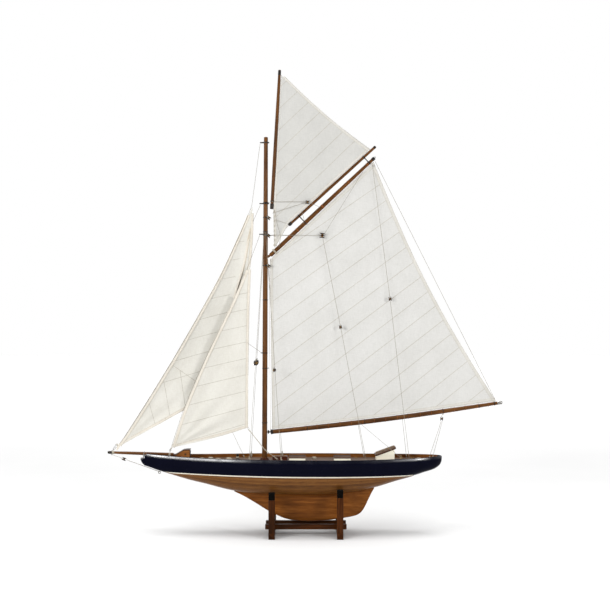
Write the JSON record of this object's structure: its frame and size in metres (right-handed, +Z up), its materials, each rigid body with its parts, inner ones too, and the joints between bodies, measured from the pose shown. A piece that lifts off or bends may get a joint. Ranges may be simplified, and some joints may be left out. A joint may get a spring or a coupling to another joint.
{
  "type": "model sailing ship",
  "caption": "Display model of a gaff-rigged racing yacht with cloth sails, thread rigging and a hollow hull, resting in a dark wooden cradle stand.",
  "frame": {"origin": "on the ground under the middle of the model, between the feet of the stand", "axes": "+Z up, +X towards the stern, +Y towards the starboard side"},
  "size_m": [0.8488, 0.1248, 0.9987],
  "materials": {
    "navy_paint": "gloss navy paint on wood",
    "varnished_planks": "varnished planks, navy above the waterline",
    "keel_wood": "varnished, streaky grain",
    "deck_wood": "planked, satin",
    "cream_paint": "cream paint on wood",
    "red_wood": "dark red stain",
    "cabin_wood": "varnished mahogany",
    "dark_stand": "dark walnut stain",
    "black_felt": "black felt",
    "spar_wood": "varnished dowel",
    "inner_wood": "bare wood",
    "white_cloth": "plain cotton, off-white",
    "cream_cloth": "plain cotton, cream",
    "thread": "natural rigging thread",
    "steel": "dull steel",
    "block_wood": "very dark stained wood"
  },
  "bodies": {
    "stand": {"stand_frame_aft": "dark_stand", "stand_frame_fore": "dark_stand", "stand_pad_aft_port": "black_felt", "stand_pad_aft_starboard": "black_felt", "stand_pad_fore_port": "black_felt", "stand_pad_fore_starboard": "black_felt", "stand_rail_port": "dark_stand", "stand_rail_starboard": "dark_stand"},
    "ship": {"bobstay": "thread", "bobstay_block": "block_wood", "bobstay_pendant": "thread", "bowsprit": "spar_wood", "bowsprit_cap": "steel", "bulkhead_aft": "inner_wood", "bulkhead_fore": "inner_wood", "companion_house": "cream_paint", "companion_roof": "cabin_wood", "deck": "deck_wood", "deck_hatch": "red_wood", "fore_scuttle": "cabin_wood", "fore_winch": "block_wood", "hull_shell": "varnished_planks", "jib": "cream_cloth", "jib_sheet": "thread", "jib_stay": "thread", "keel_fin": "keel_wood", "mast": "spar_wood", "mast_band_head": "steel", "mast_band_lower": "steel", "mast_band_upper": "steel", "mast_collar": "cabin_wood", "mast_step": "inner_wood", "rail_cap": "navy_paint", "rope_coil": "thread", "shroud_port": "thread", "shroud_starboard": "thread", "skylight_aft": "cream_paint", "skylight_fore": "cream_paint", "staysail": "cream_cloth", "staysail_sheet": "thread", "staysail_stay": "thread", "stem_head": "navy_paint", "stem_iron": "steel"},
    "main_rig": {"boom": "spar_wood", "boom_cap": "steel", "gooseneck": "steel", "gaff": "spar_wood", "jackyard": "spar_wood", "topsail_yard": "spar_wood", "mainsail": "white_cloth", "topsail": "white_cloth", "topping_lift": "thread", "mainsheet_block": "block_wood", "gaff_block": "block_wood", "peak_halyard": "thread", "mainsheet": "thread", "lift_port": "thread", "lift_starboard": "thread", "vang_port": "thread", "vang_starboard": "thread"}
  },
  "joints": [
    {"name": "lift_off", "type": "slide", "parent": "stand", "child": "ship", "axis": [0, 0, 1], "range_m": [0, 0.25]},
    {"name": "boom_swing", "type": "hinge", "parent": "ship", "child": "main_rig", "pos_m": [-0.0857, 0, 0.22], "axis": [0, 0, 1], "range_deg": [-6, 6], "deforming": ["mainsheet", "lift_port", "lift_starboard", "vang_port", "vang_starboard"]}
  ]
}
